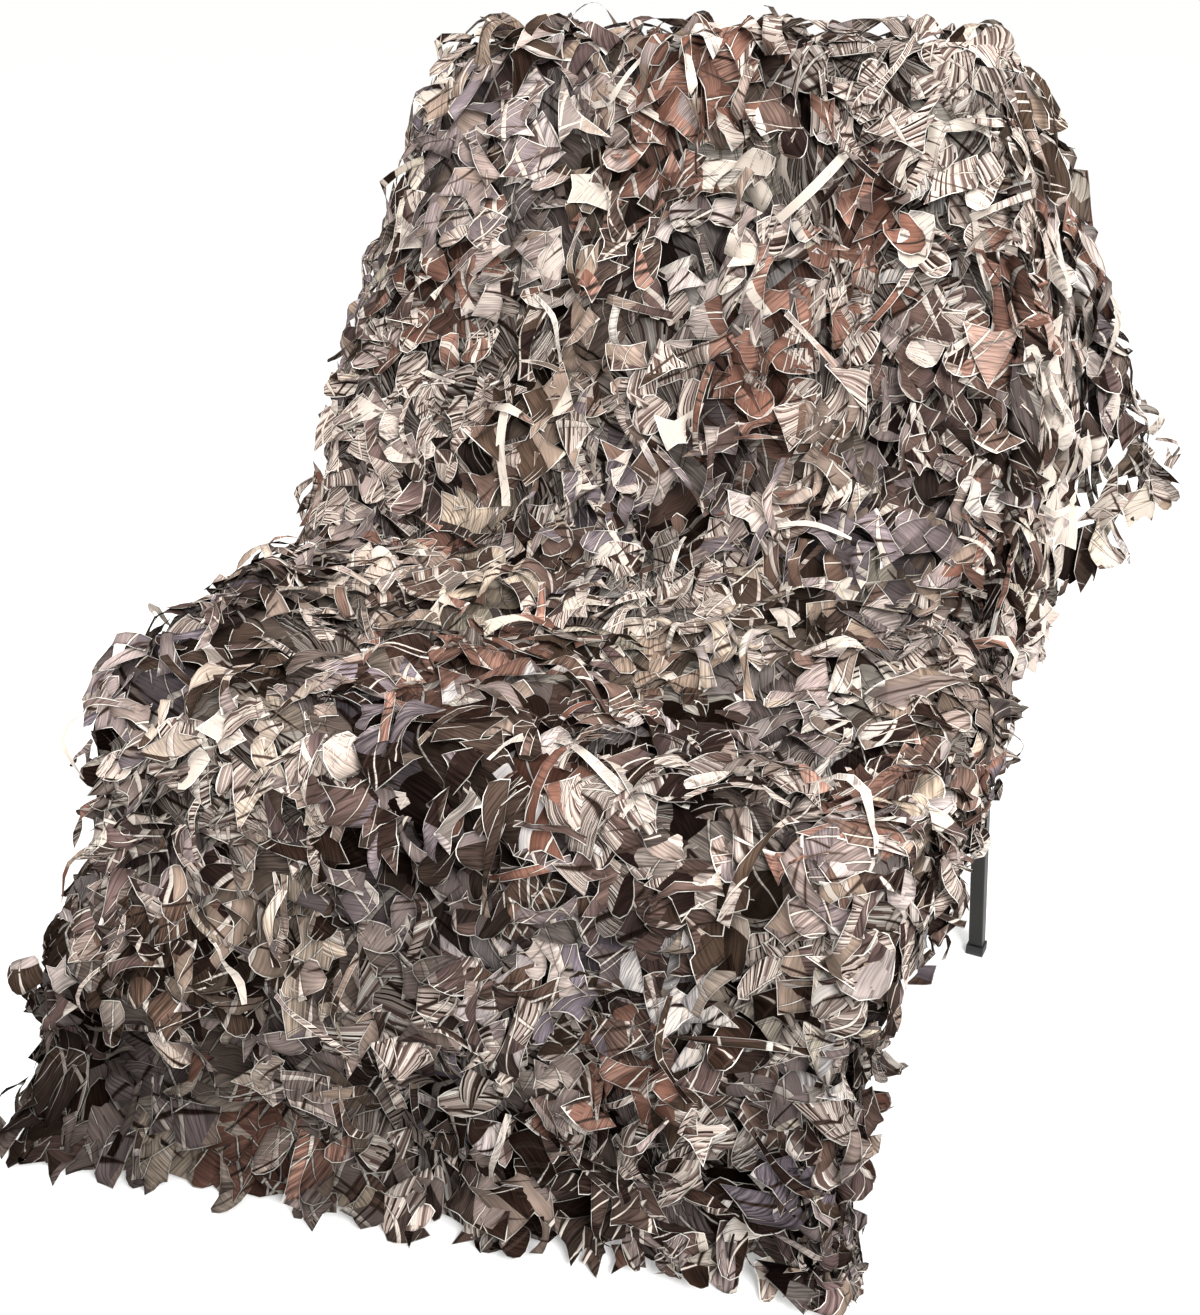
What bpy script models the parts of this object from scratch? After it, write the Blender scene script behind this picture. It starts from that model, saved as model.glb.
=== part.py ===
"""Leaf-cut camouflage net draped over an armless chair with a square-tube steel frame.

Metres, +Z up, the front of the chair towards -Y. While it is built, X = 0 is the chair's
centre line, Y = 0 the line where the net turns down over the front of the seat, and Z = 0
the floor. The last step moves everything so that the origin is under the middle of the
whole part's box.
"""

import math
from collections import namedtuple

import bmesh
import bpy
import numpy as np

COLLECTION = "camouflage_net_on_a_chair"

# Chair frame, in metres.
TUBE = 0.016
TUBE_EDGE = 0.0015
FIT_GAP = 0.0003
LEG_X = 0.302
FRONT_LEG_Y = 0.062
SEAT_TOP = 0.446
SEAT_BOARD = dict(half_width=0.335, front=0.046, rear=0.440, thick=0.022)
BEND = dict(y=0.462, z=0.430)
REAR_FOOT_Y = 0.582
POST_TOP = dict(x=0.236, y=0.515, z=0.938)
BACK_BOARD = dict(half_width=0.246, bottom=0.560, top=0.934, thick=0.012)
BOARD_EDGE = 0.004
CAP = dict(side=0.020, height=0.012, edge=0.0012)
RAIL_Z = SEAT_TOP - SEAT_BOARD["thick"] - FIT_GAP - TUBE / 2

# Net, in metres. It is one piece cut square, and its flat position is (across, along):
# across from the left selvage, along from the rear hem, over the back and to the front hem.
NET_SIDE = 1.5
CLOTH_THICK = 0.0016
MESH_PITCH = 0.0345
FOLD_SOFTNESS = 0.026
LEAF_RELIEF = 0.012
LEAF_WAVE = dict(length=0.21, swing=0.011, drift=2.2)
LEAF_SEED = 7
SCALLOP = 0.012
FLOOR_GAP = 0.004
LEAF_GAPS = dict(step=6, skew=2, rim=1)
REST_MARGIN = 0.036
FINER = 3

# Flat position across the net of each column of the next table.
ACROSS = (0.0, 0.50, 0.84, 1.18, 1.50)

# How the net hangs: a row for each line across it, from the rear hem to the front hem, with
# its flat position along the net and the (x, y, z) of its left selvage, of its left edge over
# the chair, of its middle, of its right edge over the chair and of its right selvage.
Section = namedtuple("Section", "name along left_hem left_edge middle right_edge right_hem")
SECTIONS = (
    Section("rear hem", 0.00,
            (-0.50, 0.59, 0.45), (-0.312, 0.576, 0.795), (0, 0.576, 0.805),
            (0.280, 0.576, 0.805), (0.457, 0.600, 0.585)),
    Section("top of the back, rear", 0.19,
            (-0.53, 0.56, 0.33), (-0.308, 0.552, 0.984), (0, 0.554, 0.996),
            (0.276, 0.552, 0.988), (0.430, 0.550, 0.555)),
    Section("top of the back, front", 0.255,
            (-0.53, 0.54, 0.29), (-0.312, 0.478, 0.996), (0, 0.480, 1.008),
            (0.276, 0.478, 1.000), (0.410, 0.510, 0.530)),
    Section("back, upper", 0.42,
            (-0.55, 0.52, 0.20), (-0.378, 0.448, 0.805), (0, 0.450, 0.810),
            (0.318, 0.448, 0.805), (0.372, 0.448, 0.487)),
    Section("back, lower", 0.59,
            (-0.56, 0.48, 0.10), (-0.445, 0.420, 0.610), (0, 0.418, 0.620),
            (0.336, 0.410, 0.625), (0.350, 0.365, 0.452)),
    Section("foot of the back", 0.735,
            (-0.56, 0.43, 0.05), (-0.452, 0.345, 0.470), (0, 0.345, 0.495),
            (0.346, 0.330, 0.510), (0.354, 0.280, 0.425)),
    Section("seat, middle", 0.905,
            (-0.555, 0.38, 0.035), (-0.455, 0.190, 0.464), (0, 0.180, 0.454),
            (0.358, 0.170, 0.462), (0.368, 0.170, 0.400)),
    Section("seat, front edge", 1.065,
            (-0.55, 0.33, 0.03), (-0.422, -0.004, 0.456), (0, -0.012, 0.458),
            (0.352, -0.012, 0.458), (0.368, 0.030, 0.408)),
    Section("front, upper", 1.22,
            (-0.545, 0.29, 0.03), (-0.432, -0.055, 0.310), (0, -0.052, 0.310),
            (0.340, -0.042, 0.310), (0.356, 0.000, 0.300)),
    Section("swag", 1.36,
            (-0.54, 0.26, 0.03), (-0.460, -0.148, 0.170), (0, -0.098, 0.180),
            (0.328, -0.052, 0.180), (0.344, 0.000, 0.170)),
    Section("tuck", 1.43,
            (-0.535, 0.24, 0.02), (-0.432, -0.058, 0.092), (0, -0.046, 0.095),
            (0.322, -0.022, 0.095), (0.340, 0.008, 0.090)),
    Section("front hem", 1.50,
            (-0.53, 0.22, 0.012), (-0.455, -0.205, 0.010), (0, -0.092, 0.010),
            (0.332, -0.004, 0.010), (0.350, 0.035, 0.010)),
)

# Runs of soft folds: the flat box that each covers, the way its folds follow one another,
# from crest to crest, how high they stand, and the side of the box where they die out.
Folds = namedtuple("Folds", "name across along runs pitch height dies_at")
FOLD_RUNS = (
    Folds("front drop", (0.45, 1.50), (1.04, 1.50), "across", 0.170, 0.012, "start"),
    Folds("left drop", (0.00, 0.46), (0.10, 1.50), "along", 0.190, 0.020, "end"),
    Folds("right selvage", (1.16, 1.50), (0.10, 1.10), "along", 0.130, 0.010, "start"),
    Folds("rear flap", (0.20, 1.40), (0.00, 0.18), "across", 0.210, 0.010, "end"),
)

# The first part of a run's length in which its folds rise, and how unevenly they follow.
FOLD_START = 0.25
UNEVEN_FOLDS = dict(by=1.3, rate=7.0)

# Single creases and ridges: the flat ends of each, its half width and its height.
Crease = namedtuple("Crease", "name start end half_width height")
CREASES = (
    Crease("pleat across the seat", (0.58, 0.95), (0.86, 0.93), 0.022, 0.012),
    Crease("dip at the foot of the back", (0.56, 0.70), (0.86, 0.64), 0.040, -0.022),
    Crease("fold at the right of the back", (1.20, 0.22), (1.24, 0.66), 0.040, -0.014),
    Crease("sag between seat and front", (0.80, 0.80), (1.10, 0.98), 0.060, -0.010),
)


def clear_scene():
    for obj in list(bpy.data.objects):
        bpy.data.objects.remove(obj, do_unlink=True)


def material(name, colour, roughness, metallic=0.0):
    made = bpy.data.materials.new(name)
    made.use_nodes = True
    shader = made.node_tree.nodes["Principled BSDF"]
    shader.inputs["Base Color"].default_value = (*colour, 1.0)
    shader.inputs["Roughness"].default_value = roughness
    shader.inputs["Metallic"].default_value = metallic
    return made


def add_mesh(name, bm, finish, home):
    """A new object in the home collection, with the mesh from bm."""
    mesh = bpy.data.meshes.new(name)
    bmesh.ops.recalc_face_normals(bm, faces=bm.faces)
    bm.to_mesh(mesh)
    bm.free()
    mesh.materials.append(finish)
    obj = bpy.data.objects.new(name, mesh)
    home.objects.link(obj)
    return obj


def round_edges(obj, width):
    bevel = obj.modifiers.new("rounded edges", "BEVEL")
    bevel.width = width
    bevel.segments = 2
    bevel.limit_method = "ANGLE"
    bevel.angle_limit = math.radians(40)


def block(name, size, centre, finish, home, edge, tilt=0.0):
    """A box of the given size, tilted about X, with rounded edges."""
    bm = bmesh.new()
    bmesh.ops.create_cube(bm, size=1.0)
    bmesh.ops.scale(bm, vec=size, verts=bm.verts)
    obj = add_mesh(name, bm, finish, home)
    obj.location = centre
    obj.rotation_euler = (tilt, 0.0, 0.0)
    round_edges(obj, edge)
    return obj


def upright(name, stations, finish, home):
    """A square tube through the stations, cut level at each of them."""
    bm = bmesh.new()
    half = TUBE / 2
    corners = ((-half, -half), (half, -half), (half, half), (-half, half))
    rings = [[bm.verts.new((x + dx, y + dy, z)) for dx, dy in corners] for x, y, z in stations]
    for low, high in zip(rings, rings[1:]):
        for side in range(4):
            after = (side + 1) % 4
            bm.faces.new((low[side], low[after], high[after], high[side]))
    bm.faces.new(rings[0][::-1])
    bm.faces.new(rings[-1])
    obj = add_mesh(name, bm, finish, home)
    round_edges(obj, TUBE_EDGE)
    return obj


def build_chair(home):
    steel = material("black_coated_steel", (0.012, 0.012, 0.013), 0.42)
    board = material("dark_seat_board", (0.035, 0.030, 0.026), 0.70)
    plastic = material("black_plastic", (0.010, 0.010, 0.010), 0.55)
    leg_foot = CAP["height"] + FIT_GAP
    under_seat = SEAT_TOP - SEAT_BOARD["thick"] - FIT_GAP

    for side, sign in (("left", -1), ("right", 1)):
        x = sign * LEG_X
        front_leg = ((x, FRONT_LEG_Y, leg_foot), (x, FRONT_LEG_Y, under_seat))
        upright(f"front_leg_{side}", front_leg, steel, home)
        post = (
            (x, REAR_FOOT_Y, leg_foot),
            (x, BEND["y"], BEND["z"]),
            (sign * POST_TOP["x"], POST_TOP["y"], POST_TOP["z"]),
        )
        upright(f"rear_post_{side}", post, steel, home)
        for place, y in (("front", FRONT_LEG_Y), ("rear", REAR_FOOT_Y)):
            size = (CAP["side"], CAP["side"], CAP["height"])
            centre = (x, y, CAP["height"] / 2)
            block(f"foot_cap_{place}_{side}", size, centre, plastic, home, CAP["edge"])

    # The rails end a hair short of the tubes that they are welded to.
    rake = (REAR_FOOT_Y - BEND["y"]) / (BEND["z"] - leg_foot)
    post_y = BEND["y"] + rake * (BEND["z"] - RAIL_Z)
    rail_start = FRONT_LEG_Y + TUBE / 2 + FIT_GAP
    rail_end = post_y - rake * TUBE / 2 - TUBE / 2 - FIT_GAP
    rail_middle = (rail_start + rail_end) / 2
    for side, sign in (("left", -1), ("right", 1)):
        size = (TUBE, rail_end - rail_start, TUBE)
        centre = (sign * LEG_X, rail_middle, RAIL_Z)
        block(f"side_rail_{side}", size, centre, steel, home, TUBE_EDGE)
    cross = 2 * (LEG_X - TUBE / 2 - FIT_GAP)
    front_centre = (0, FRONT_LEG_Y, RAIL_Z)
    block("front_rail", (cross, TUBE, TUBE), front_centre, steel, home, TUBE_EDGE)
    block("rear_rail", (cross, TUBE, TUBE), (0, post_y, RAIL_Z), steel, home, TUBE_EDGE)
    narrowing = (LEG_X - POST_TOP["x"]) / (POST_TOP["z"] - BEND["z"])
    recline = (POST_TOP["y"] - BEND["y"]) / (POST_TOP["z"] - BEND["z"])
    top_rail_z = POST_TOP["z"] - TUBE
    top_x = POST_TOP["x"] + narrowing * TUBE / 2
    top_cross = 2 * (top_x - TUBE / 2 - FIT_GAP)
    top_centre = (0, POST_TOP["y"], top_rail_z)
    block("top_rail", (top_cross, TUBE, TUBE), top_centre, steel, home, TUBE_EDGE)

    seat_depth = SEAT_BOARD["rear"] - SEAT_BOARD["front"]
    seat_size = (2 * SEAT_BOARD["half_width"], seat_depth, SEAT_BOARD["thick"])
    seat_centre = (0, SEAT_BOARD["front"] + seat_depth / 2, SEAT_TOP - SEAT_BOARD["thick"] / 2)
    block("seat_board", seat_size, seat_centre, board, home, BOARD_EDGE)

    lean = math.atan(recline)
    back_z = (BACK_BOARD["bottom"] + BACK_BOARD["top"]) / 2
    back_height = (BACK_BOARD["top"] - BACK_BOARD["bottom"]) / math.cos(lean)
    back_size = (2 * BACK_BOARD["half_width"], BACK_BOARD["thick"], back_height)
    axis_y = BEND["y"] + recline * (back_z - BEND["z"])
    board_y = axis_y - TUBE / 2 - (FIT_GAP + BACK_BOARD["thick"] / 2) / math.cos(lean)
    block("back_board", back_size, (0, board_y, back_z), board, home, BOARD_EDGE, tilt=-lean)


def soften(grid, spacing, axis):
    """Rounds the grid's folds along one axis, and leaves its two ends where they are."""
    reach = int(math.ceil(3 * FOLD_SOFTNESS / spacing))
    steps = np.arange(-reach, reach + 1)
    weights = np.exp(-0.5 * (steps * spacing / FOLD_SOFTNESS) ** 2)
    weights /= weights.sum()
    grid = np.moveaxis(grid, axis, 0)
    before = 2 * grid[:1] - grid[reach:0:-1]
    after = 2 * grid[-1:] - grid[-2:-reach - 2:-1]
    padded = np.concatenate([before, grid, after])
    rounded = sum(w * padded[k:k + len(grid)] for k, w in enumerate(weights))
    return np.moveaxis(rounded, 0, axis)


def hanging_shape(across, along):
    """The smooth hanging shape, as an array of points [along, across, xyz]."""
    stations = np.array([row[2:] for row in SECTIONS], float)
    places = np.array([row.along for row in SECTIONS])
    shape = np.empty((len(along), len(across), 3))
    for axis in range(3):
        columns = [np.interp(along, places, stations[:, column, axis]) for column in range(5)]
        columns = np.array(columns)
        for k in range(len(along)):
            shape[k, :, axis] = np.interp(across, ACROSS, columns[:, k])
    shape = soften(shape, along[1] - along[0], 0)
    return soften(shape, across[1] - across[0], 1)


def surface_normals(shape):
    """Unit normals of a grid of points, on the side that faces out of the chair."""
    by_along = np.gradient(shape, axis=0)
    by_across = np.gradient(shape, axis=1)
    normals = np.cross(by_along, by_across)
    return normals / np.linalg.norm(normals, axis=2, keepdims=True)


def fold_height(across, along):
    """How far the folds and creases lift the cloth off its smooth hanging shape."""
    height = np.zeros(across.shape)
    for run in FOLD_RUNS:
        s = (across - run.across[0]) / (run.across[1] - run.across[0])
        t = (along - run.along[0]) / (run.along[1] - run.along[0])
        inside = (s > 0) & (s < 1) & (t > 0) & (t < 1)
        if run.runs == "across":
            way, start, fade = across, s, t
        else:
            way, start, fade = along, t, s
        fade = fade if run.dies_at == "start" else 1 - fade
        rise = np.clip(start / FOLD_START, 0, 1) * np.clip(fade, 0, 1)
        uneven = UNEVEN_FOLDS["by"] * np.sin(UNEVEN_FOLDS["rate"] * way)
        wave = np.sin(2 * math.pi * way / run.pitch + uneven)
        height += np.where(inside, run.height * rise * wave, 0)
    for crease in CREASES:
        start = np.array(crease.start)
        way = np.array(crease.end) - start
        length = np.linalg.norm(way)
        way = way / length
        beside = (across - start[0]) * way[1] - (along - start[1]) * way[0]
        ahead = (across - start[0]) * way[0] + (along - start[1]) * way[1]
        past = np.maximum(0, np.maximum(-ahead, ahead - length))
        away = np.hypot(beside, past) / crease.half_width
        height += crease.height * np.exp(-away ** 2)
    return height


def net_points():
    """The points of the net's middle surface, leafy and folded, as [along, across, xyz]."""
    count = round(NET_SIDE / MESH_PITCH) + 1
    places = np.linspace(0, NET_SIDE, count)
    fine = np.linspace(0, NET_SIDE, FINER * (count - 1) + 1)
    smooth = hanging_shape(fine, fine)
    shape = smooth[::FINER, ::FINER]
    normals = surface_normals(smooth)[::FINER, ::FINER]
    along, across = np.meshgrid(places, places, indexing="ij")
    draw = np.random.RandomState(LEAF_SEED)
    relief = LEAF_RELIEF * draw.uniform(-1, 1, along.shape)
    shape = shape + normals * (fold_height(across, along) + relief)[:, :, None]

    # The leaf cuts run in waves, and the four edges end in leaf points.
    inner = np.ones(along.shape)
    inner[[0, -1], :] = 0
    inner[:, [0, -1]] = 0
    sway = LEAF_WAVE["swing"] * inner
    turn = 2 * math.pi / LEAF_WAVE["length"]
    shift_across = sway * np.sin(turn * along + LEAF_WAVE["drift"] * across)
    shift_along = sway * np.sin(turn * across + LEAF_WAVE["drift"] * along)
    tips = SCALLOP * draw.uniform(-1, 1, (4, count))
    shift_along[0] += tips[0]
    shift_along[-1] += tips[1]
    shift_across[:, 0] += tips[2]
    shift_across[:, -1] += tips[3]
    per_across = np.gradient(shape, axis=1) / MESH_PITCH
    per_along = np.gradient(shape, axis=0) / MESH_PITCH
    shape = shape + per_across * shift_across[:, :, None] + per_along * shift_along[:, :, None]

    # It rests on the seat board, and its hem stays just off the floor.
    x, y, z = np.moveaxis(shape, 2, 0)
    on_board = (np.abs(x) < SEAT_BOARD["half_width"] + REST_MARGIN) & (z > SEAT_TOP - SCALLOP)
    on_board &= (y > SEAT_BOARD["front"] - REST_MARGIN) & (y < SEAT_BOARD["rear"])
    board_rest = SEAT_TOP + FIT_GAP + CLOTH_THICK / 2
    floor_rest = FLOOR_GAP + CLOTH_THICK / 2
    shape[:, :, 2] = np.maximum(z, np.where(on_board, board_rest, floor_rest))
    return shape


def build_net(home):
    points = net_points()
    rows, columns = points.shape[:2]
    bm = bmesh.new()
    grid = [[bm.verts.new(points[i, j]) for j in range(columns)] for i in range(rows)]
    rim = LEAF_GAPS["rim"]
    for i in range(rows - 1):
        for j in range(columns - 1):
            a, b = grid[i][j], grid[i][j + 1]
            c, d = grid[i + 1][j + 1], grid[i + 1][j]
            away = rim <= i < rows - 1 - rim and rim <= j < columns - 1 - rim
            turn = (j + LEAF_GAPS["skew"] * i) % LEAF_GAPS["step"]
            if away and turn == 0:
                # A leaf gap: half of the square is cut away.
                bm.faces.new((a, b, c) if i % 2 else (a, b, d))
            else:
                bm.faces.new((a, b, c, d))
    finish = material("printed_leaf_cut_cloth", (0.215, 0.180, 0.150), 0.80)
    net = add_mesh("net", bm, finish, home)
    solid = net.modifiers.new("cloth thickness", "SOLIDIFY")
    solid.thickness = CLOTH_THICK
    solid.offset = 0.0
    return net


def centre_on_floor(home):
    """Moves every piece so that the origin is under the middle of the whole box."""
    bpy.context.view_layer.update()
    graph = bpy.context.evaluated_depsgraph_get()
    corners = []
    for obj in home.objects:
        evaluated = obj.evaluated_get(graph)
        mesh = evaluated.to_mesh()
        corners += [obj.matrix_world @ vertex.co for vertex in mesh.vertices]
        evaluated.to_mesh_clear()
    corners = np.array(corners)
    low, high = corners.min(axis=0), corners.max(axis=0)
    for obj in home.objects:
        obj.location.x -= (low[0] + high[0]) / 2
        obj.location.y -= (low[1] + high[1]) / 2
        obj.location.z -= low[2]


def main():
    clear_scene()
    home = bpy.data.collections.new(COLLECTION)
    bpy.context.scene.collection.children.link(home)
    build_chair(home)
    build_net(home)
    centre_on_floor(home)


main()
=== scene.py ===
"""Leaf-cut camouflage net hung over an armless chair with a square-tube steel frame.

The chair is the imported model's own, with finishes added. The net's plain solid is replaced
by the printed cloth and the leaves that are cut from it, on the same folds. Metres, +Z up.
"""

import math

import bpy
import numpy as np
from mathutils import Matrix, Vector


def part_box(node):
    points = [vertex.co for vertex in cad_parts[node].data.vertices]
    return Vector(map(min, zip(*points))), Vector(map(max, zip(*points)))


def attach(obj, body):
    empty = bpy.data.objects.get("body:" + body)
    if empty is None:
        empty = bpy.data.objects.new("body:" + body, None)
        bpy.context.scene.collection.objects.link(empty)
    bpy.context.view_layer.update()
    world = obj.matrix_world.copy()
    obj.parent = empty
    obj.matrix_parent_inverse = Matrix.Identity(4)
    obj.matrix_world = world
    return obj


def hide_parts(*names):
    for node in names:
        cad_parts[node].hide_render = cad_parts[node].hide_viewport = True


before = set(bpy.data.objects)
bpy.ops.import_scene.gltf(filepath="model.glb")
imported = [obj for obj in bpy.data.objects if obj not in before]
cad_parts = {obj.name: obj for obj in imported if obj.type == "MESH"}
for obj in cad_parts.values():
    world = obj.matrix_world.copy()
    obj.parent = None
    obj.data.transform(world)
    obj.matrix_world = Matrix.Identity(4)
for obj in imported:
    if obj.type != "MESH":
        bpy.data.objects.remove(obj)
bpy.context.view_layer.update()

# -----------------------------------------------------------------------------------------
# Chair frame. 16 mm square steel tube, cut, bent and welded, then powder coated black. The
# baked coat is satin and slightly pebbled, and it is rubbed grey along the tube's edges.

STEEL_NODES = (
    "front_leg_left", "front_leg_right", "rear_post_left", "rear_post_right",
    "front_rail", "rear_rail", "side_rail_left", "side_rail_right", "top_rail",
)
COAT_BLACK = "121111"
COAT_RUBBED = "3a3836"
COAT_PEBBLE_MM = 1.6
COAT_WEAR_MM = 45
COAT_ROUGHNESS = (0.34, 0.52)
POWDER_IOR = 1.52
RUBBED_POINTINESS = (0.52, 0.60)


def linear(hex_colour):
    """An sRGB hex colour as linear RGBA."""
    channels = [int(hex_colour[k:k + 2], 16) / 255 for k in (0, 2, 4)]
    channels = [c / 12.92 if c <= 0.04045 else ((c + 0.055) / 1.055) ** 2.4 for c in channels]
    return (*channels, 1.0)


METRE_MM = 1000


def per_metre(size_mm):
    """A texture's scale in object coordinates, for features of the given size."""
    return METRE_MM / size_mm


def feed(node, inputs):
    """Sets a node's inputs, each from a value, a hex colour, a socket or another node."""
    for key, value in inputs.items():
        named = [s for s in node.inputs if s.enabled and s.name == key]
        socket = named[0] if named else node.inputs[key]
        if isinstance(value, bpy.types.Node):
            value = next(s for s in value.outputs if s.enabled)
        if isinstance(value, bpy.types.NodeSocket):
            node.id_data.links.new(value, socket)
        elif isinstance(value, str):
            socket.default_value = linear(value)[:len(socket.default_value)]
        else:
            socket.default_value = value


def add(tree, kind, inputs=None, **settings):
    """One more node, with its settings and its inputs."""
    made = tree.nodes.new("ShaderNode" + kind)
    for name, value in settings.items():
        setattr(made, name, value)
    feed(made, inputs or {})
    return made


def maths(tree, operation, *values):
    """What one operation makes of one, two or three values."""
    return add(tree, "Math", dict(enumerate(values)), operation=operation)


def mapped(tree, value, start=(0.0, 1.0), to=(0.0, 1.0)):
    """A value carried from one range to another, and kept inside it."""
    return add(tree, "MapRange", {"Value": value, "From Min": start[0], "From Max": start[1],
                                  "To Min": to[0], "To Max": to[1]})


def mixed(tree, share, colour, over):
    """A colour with a share of another laid over it."""
    return add(tree, "Mix", {"Factor": share, "A": colour, "B": over}, data_type="RGBA")


def scaled(tree, colour, by):
    """A colour or a position times a value."""
    return add(tree, "VectorMath", {0: colour, "Scale": by}, operation="SCALE")


def noise(tree, at, size_mm, detail, dimensions="3D", **inputs):
    """Noise with features of the given size."""
    inputs.update({"Vector": at, "Scale": per_metre(size_mm), "Detail": detail})
    return add(tree, "TexNoise", inputs, noise_dimensions=dimensions)


def new_finish(name):
    """A node material, its tree and its shader."""
    made = bpy.data.materials.new(name)
    made.use_nodes = True
    return made, made.node_tree, made.node_tree.nodes["Principled BSDF"]


def ramp(tree, factor, stops, interpolation="LINEAR"):
    """A colour ramp through (position, hex colour) stops."""
    made = add(tree, "ValToRGB", {"Fac": factor})
    band = made.color_ramp
    band.interpolation = interpolation
    while len(band.elements) < len(stops):
        band.elements.new(0.5)
    for element, (position, colour) in zip(band.elements, stops):
        element.position = position
        element.color = linear(colour)
    return made


def placed(name, data):
    """A new object in the scene."""
    made = bpy.data.objects.new(name, data)
    bpy.context.scene.collection.objects.link(made)
    return made


def finish_nodes(names, finish):
    """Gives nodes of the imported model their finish."""
    for name in names:
        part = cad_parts[name]
        part.data.materials.clear()
        part.data.materials.append(finish)


coat, tree, shader = new_finish("powder_coated_steel")
at = add(tree, "TexCoord").outputs["Object"]
pebble = noise(tree, at, COAT_PEBBLE_MM, 2.0)
wear = noise(tree, at, COAT_WEAR_MM, 5.0, Roughness=0.65)
edge = add(tree, "NewGeometry").outputs["Pointiness"]
rubbed = maths(tree, "MULTIPLY", mapped(tree, edge, RUBBED_POINTINESS), wear)
shade = mixed(tree, rubbed, COAT_BLACK, COAT_RUBBED)
dull = mapped(tree, wear, to=COAT_ROUGHNESS)
bumps = add(tree, "Bump", {"Height": pebble, "Strength": 0.25, "Distance": 0.0002})
feed(shader, {"Base Color": shade, "Roughness": dull, "Normal": bumps, "IOR": POWDER_IOR,
              "Specular IOR Level": 0.2})
finish_nodes(STEEL_NODES, coat)

# -----------------------------------------------------------------------------------------
# Seat and back boards. 22 mm and 12 mm birch plywood, edges rounded, stained dark and
# lacquered. The grain runs across the chair, and the stain sits darker in its pores.

BOARD_NODES = ("seat_board", "back_board")
STAIN_DARK = "2a211c"
STAIN_LIGHT = "4b3a30"
GRAIN_ACROSS_MM = 3.0
GRAIN_ALONG_MM = 90.0
LACQUER_ROUGHNESS = (0.62, 0.42)

stained, tree, shader = new_finish("stained_birch_plywood")
at = add(tree, "TexCoord").outputs["Object"]
stretch = [per_metre(size) for size in (GRAIN_ALONG_MM, GRAIN_ACROSS_MM, GRAIN_ACROSS_MM)]
stretched = add(tree, "Mapping", {"Vector": at, "Scale": stretch})
grain = noise(tree, stretched, METRE_MM, 6.0, Roughness=0.6, Distortion=0.6)
shade = ramp(tree, grain, ((0.35, STAIN_DARK), (0.68, STAIN_LIGHT)))
dull = mapped(tree, grain, to=LACQUER_ROUGHNESS)
bumps = add(tree, "Bump", {"Height": grain, "Strength": 0.3, "Distance": 0.0004})
feed(shader, {"Base Color": shade, "Roughness": dull, "Normal": bumps})
finish_nodes(BOARD_NODES, stained)

# -----------------------------------------------------------------------------------------
# Foot caps. Injection-moulded black polyethylene, pushed over the ends of the tubes. The
# mould is spark eroded, which leaves an even fine grain, scuffed grey near the floor.

CAP_NODES = ("foot_cap_front_left", "foot_cap_front_right", "foot_cap_rear_left",
             "foot_cap_rear_right")
CAP_BLACK = "171718"
CAP_SCUFFED = "5c5955"
CAP_GRAIN_MM = 0.6
CAP_ROUGHNESS = 0.6
SCUFF_HEIGHT = 0.006
SCUFF_SHARE = 0.7

moulded, tree, shader = new_finish("moulded_polyethylene")
at = add(tree, "TexCoord").outputs["Object"]
grain = noise(tree, at, CAP_GRAIN_MM, 1.0)
height = add(tree, "SeparateXYZ", {0: at}).outputs["Z"]
low = mapped(tree, height, (0.0, SCUFF_HEIGHT), (SCUFF_SHARE, 0.0))
scuff = maths(tree, "MULTIPLY", low, grain)
shade = mixed(tree, scuff, CAP_BLACK, CAP_SCUFFED)
bumps = add(tree, "Bump", {"Height": grain, "Strength": 0.3, "Distance": 0.0001})
feed(shader, {"Base Color": shade, "Roughness": CAP_ROUGHNESS, "Normal": bumps})
finish_nodes(CAP_NODES, moulded)

# -----------------------------------------------------------------------------------------
# Ground of the net. One square of printed polyester cloth, 1.5 m a side, left whole enough
# between the leaf cuts to hang as a sheet. It lies on the seat and over the back of the
# chair, and shows only in the depths between the leaves.

NET_SIDE = 1.5
DRAPE_STEP = 0.005
GROUND_STEP = 0.0125
GROUND_JITTER = 0.3
GROUND_RELIEF = 0.005
GROUND_DEPTH = 0.020
GROUND_INSET = 0.010
FOLD_SOFTNESS = 0.026
SEED = 20

# Flat position across the net of each column of the next table.
ACROSS = (0.0, 0.50, 0.84, 1.18, 1.50)

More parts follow.
